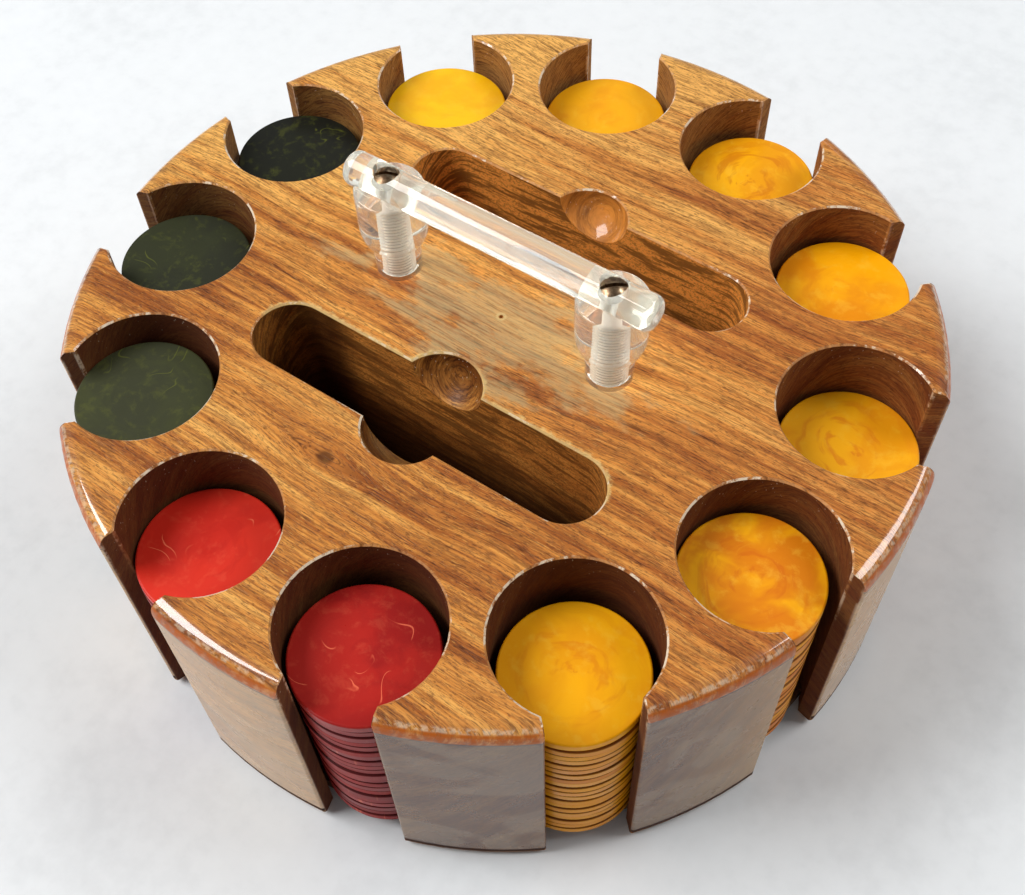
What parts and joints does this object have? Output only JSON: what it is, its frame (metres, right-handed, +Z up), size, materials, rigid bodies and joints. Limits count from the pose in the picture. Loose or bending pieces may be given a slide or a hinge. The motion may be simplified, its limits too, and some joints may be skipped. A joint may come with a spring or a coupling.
{
  "type": "poker chip case",
  "caption": "Round turned wooden poker chip case with open-sided chip wells, two card slots with finger scoops, stacked resin chips and a clear acrylic carrying handle.",
  "frame": {"origin": "on the table under the middle of the drum, at the underside of the felt", "axes": "+Z up, +X along the handle and the card slots, +Y across them"},
  "size_m": [0.247, 0.247, 0.124],
  "materials": {
    "walnut": "satin lacquered walnut with open grain",
    "hardboard": "plain dark board",
    "green_felt": "dense pressed felt",
    "brass": "plain",
    "bronze": "darkened, polished dome",
    "clear_acrylic": "clear, polished",
    "yellow_chip": "butterscotch cast resin, swirled, semi-gloss",
    "red_chip": "red cast resin, marbled, semi-gloss",
    "green_chip": "very dark green cast resin, marbled, semi-gloss"
  },
  "bodies": {
    "case": {"drum": "walnut", "base_plate": "hardboard", "base_felt": "green_felt", "base_screws": "brass", "handle_post_left": "clear_acrylic", "handle_post_right": "clear_acrylic", "handle_rod": "clear_acrylic", "handle_screw_left": "bronze", "handle_screw_right": "bronze"},
    "yellow_stack_1": {"yellow_stack_1": "yellow_chip"},
    "yellow_top_chip_1": {"yellow_top_chip_1": "yellow_chip"},
    "yellow_stack_2": {"yellow_stack_2": "yellow_chip"},
    "yellow_top_chip_2": {"yellow_top_chip_2": "yellow_chip"},
    "yellow_stack_3": {"yellow_stack_3": "yellow_chip"},
    "yellow_top_chip_3": {"yellow_top_chip_3": "yellow_chip"},
    "yellow_stack_4": {"yellow_stack_4": "yellow_chip"},
    "yellow_top_chip_4": {"yellow_top_chip_4": "yellow_chip"},
    "yellow_stack_5": {"yellow_stack_5": "yellow_chip"},
    "yellow_top_chip_5": {"yellow_top_chip_5": "yellow_chip"},
    "green_stack_1": {"green_stack_1": "green_chip"},
    "green_top_chip_1": {"green_top_chip_1": "green_chip"},
    "green_stack_2": {"green_stack_2": "green_chip"},
    "green_top_chip_2": {"green_top_chip_2": "green_chip"},
    "green_stack_3": {"green_stack_3": "green_chip"},
    "green_top_chip_3": {"green_top_chip_3": "green_chip"},
    "red_stack_1": {"red_stack_1": "red_chip"},
    "red_top_chip_1": {"red_top_chip_1": "red_chip"},
    "red_stack_2": {"red_stack_2": "red_chip"},
    "red_top_chip_2": {"red_top_chip_2": "red_chip"},
    "yellow_stack_6": {"yellow_stack_6": "yellow_chip"},
    "yellow_top_chip_6": {"yellow_top_chip_6": "yellow_chip"},
    "yellow_stack_7": {"yellow_stack_7": "yellow_chip"},
    "yellow_top_chip_7": {"yellow_top_chip_7": "yellow_chip"}
  },
  "joints": [
    {"name": "yellow_stack_1_lift", "type": "slide", "parent": "case", "child": "yellow_stack_1", "axis": [0, 0, 1], "range_m": [0, 0.09]},
    {"name": "yellow_top_chip_1_lift", "type": "slide", "parent": "yellow_stack_1", "child": "yellow_top_chip_1", "axis": [0, 0, 1], "range_m": [0, 0.04]},
    {"name": "yellow_stack_2_lift", "type": "slide", "parent": "case", "child": "yellow_stack_2", "axis": [0, 0, 1], "range_m": [0, 0.09]},
    {"name": "yellow_top_chip_2_lift", "type": "slide", "parent": "yellow_stack_2", "child": "yellow_top_chip_2", "axis": [0, 0, 1], "range_m": [0, 0.04]},
    {"name": "yellow_stack_3_lift", "type": "slide", "parent": "case", "child": "yellow_stack_3", "axis": [0, 0, 1], "range_m": [0, 0.09]},
    {"name": "yellow_top_chip_3_lift", "type": "slide", "parent": "yellow_stack_3", "child": "yellow_top_chip_3", "axis": [0, 0, 1], "range_m": [0, 0.04]},
    {"name": "yellow_stack_4_lift", "type": "slide", "parent": "case", "child": "yellow_stack_4", "axis": [0, 0, 1], "range_m": [0, 0.09]},
    {"name": "yellow_top_chip_4_lift", "type": "slide", "parent": "yellow_stack_4", "child": "yellow_top_chip_4", "axis": [0, 0, 1], "range_m": [0, 0.04]},
    {"name": "yellow_stack_5_lift", "type": "slide", "parent": "case", "child": "yellow_stack_5", "axis": [0, 0, 1], "range_m": [0, 0.09]},
    {"name": "yellow_top_chip_5_lift", "type": "slide", "parent": "yellow_stack_5", "child": "yellow_top_chip_5", "axis": [0, 0, 1], "range_m": [0, 0.04]},
    {"name": "green_stack_1_lift", "type": "slide", "parent": "case", "child": "green_stack_1", "axis": [0, 0, 1], "range_m": [0, 0.09]},
    {"name": "green_top_chip_1_lift", "type": "slide", "parent": "green_stack_1", "child": "green_top_chip_1", "axis": [0, 0, 1], "range_m": [0, 0.04]},
    {"name": "green_stack_2_lift", "type": "slide", "parent": "case", "child": "green_stack_2", "axis": [0, 0, 1], "range_m": [0, 0.09]},
    {"name": "green_top_chip_2_lift", "type": "slide", "parent": "green_stack_2", "child": "green_top_chip_2", "axis": [0, 0, 1], "range_m": [0, 0.04]},
    {"name": "green_stack_3_lift", "type": "slide", "parent": "case", "child": "green_stack_3", "axis": [0, 0, 1], "range_m": [0, 0.09]},
    {"name": "green_top_chip_3_lift", "type": "slide", "parent": "green_stack_3", "child": "green_top_chip_3", "axis": [0, 0, 1], "range_m": [0, 0.04]},
    {"name": "red_stack_1_lift", "type": "slide", "parent": "case", "child": "red_stack_1", "axis": [0, 0, 1], "range_m": [0, 0.09]},
    {"name": "red_top_chip_1_lift", "type": "slide", "parent": "red_stack_1", "child": "red_top_chip_1", "axis": [0, 0, 1], "range_m": [0, 0.04]},
    {"name": "red_stack_2_lift", "type": "slide", "parent": "case", "child": "red_stack_2", "axis": [0, 0, 1], "range_m": [0, 0.09]},
    {"name": "red_top_chip_2_lift", "type": "slide", "parent": "red_stack_2", "child": "red_top_chip_2", "axis": [0, 0, 1], "range_m": [0, 0.04]},
    {"name": "yellow_stack_6_lift", "type": "slide", "parent": "case", "child": "yellow_stack_6", "axis": [0, 0, 1], "range_m": [0, 0.09]},
    {"name": "yellow_top_chip_6_lift", "type": "slide", "parent": "yellow_stack_6", "child": "yellow_top_chip_6", "axis": [0, 0, 1], "range_m": [0, 0.04]},
    {"name": "yellow_stack_7_lift", "type": "slide", "parent": "case", "child": "yellow_stack_7", "axis": [0, 0, 1], "range_m": [0, 0.09]},
    {"name": "yellow_top_chip_7_lift", "type": "slide", "parent": "yellow_stack_7", "child": "yellow_top_chip_7", "axis": [0, 0, 1], "range_m": [0, 0.04]}
  ]
}
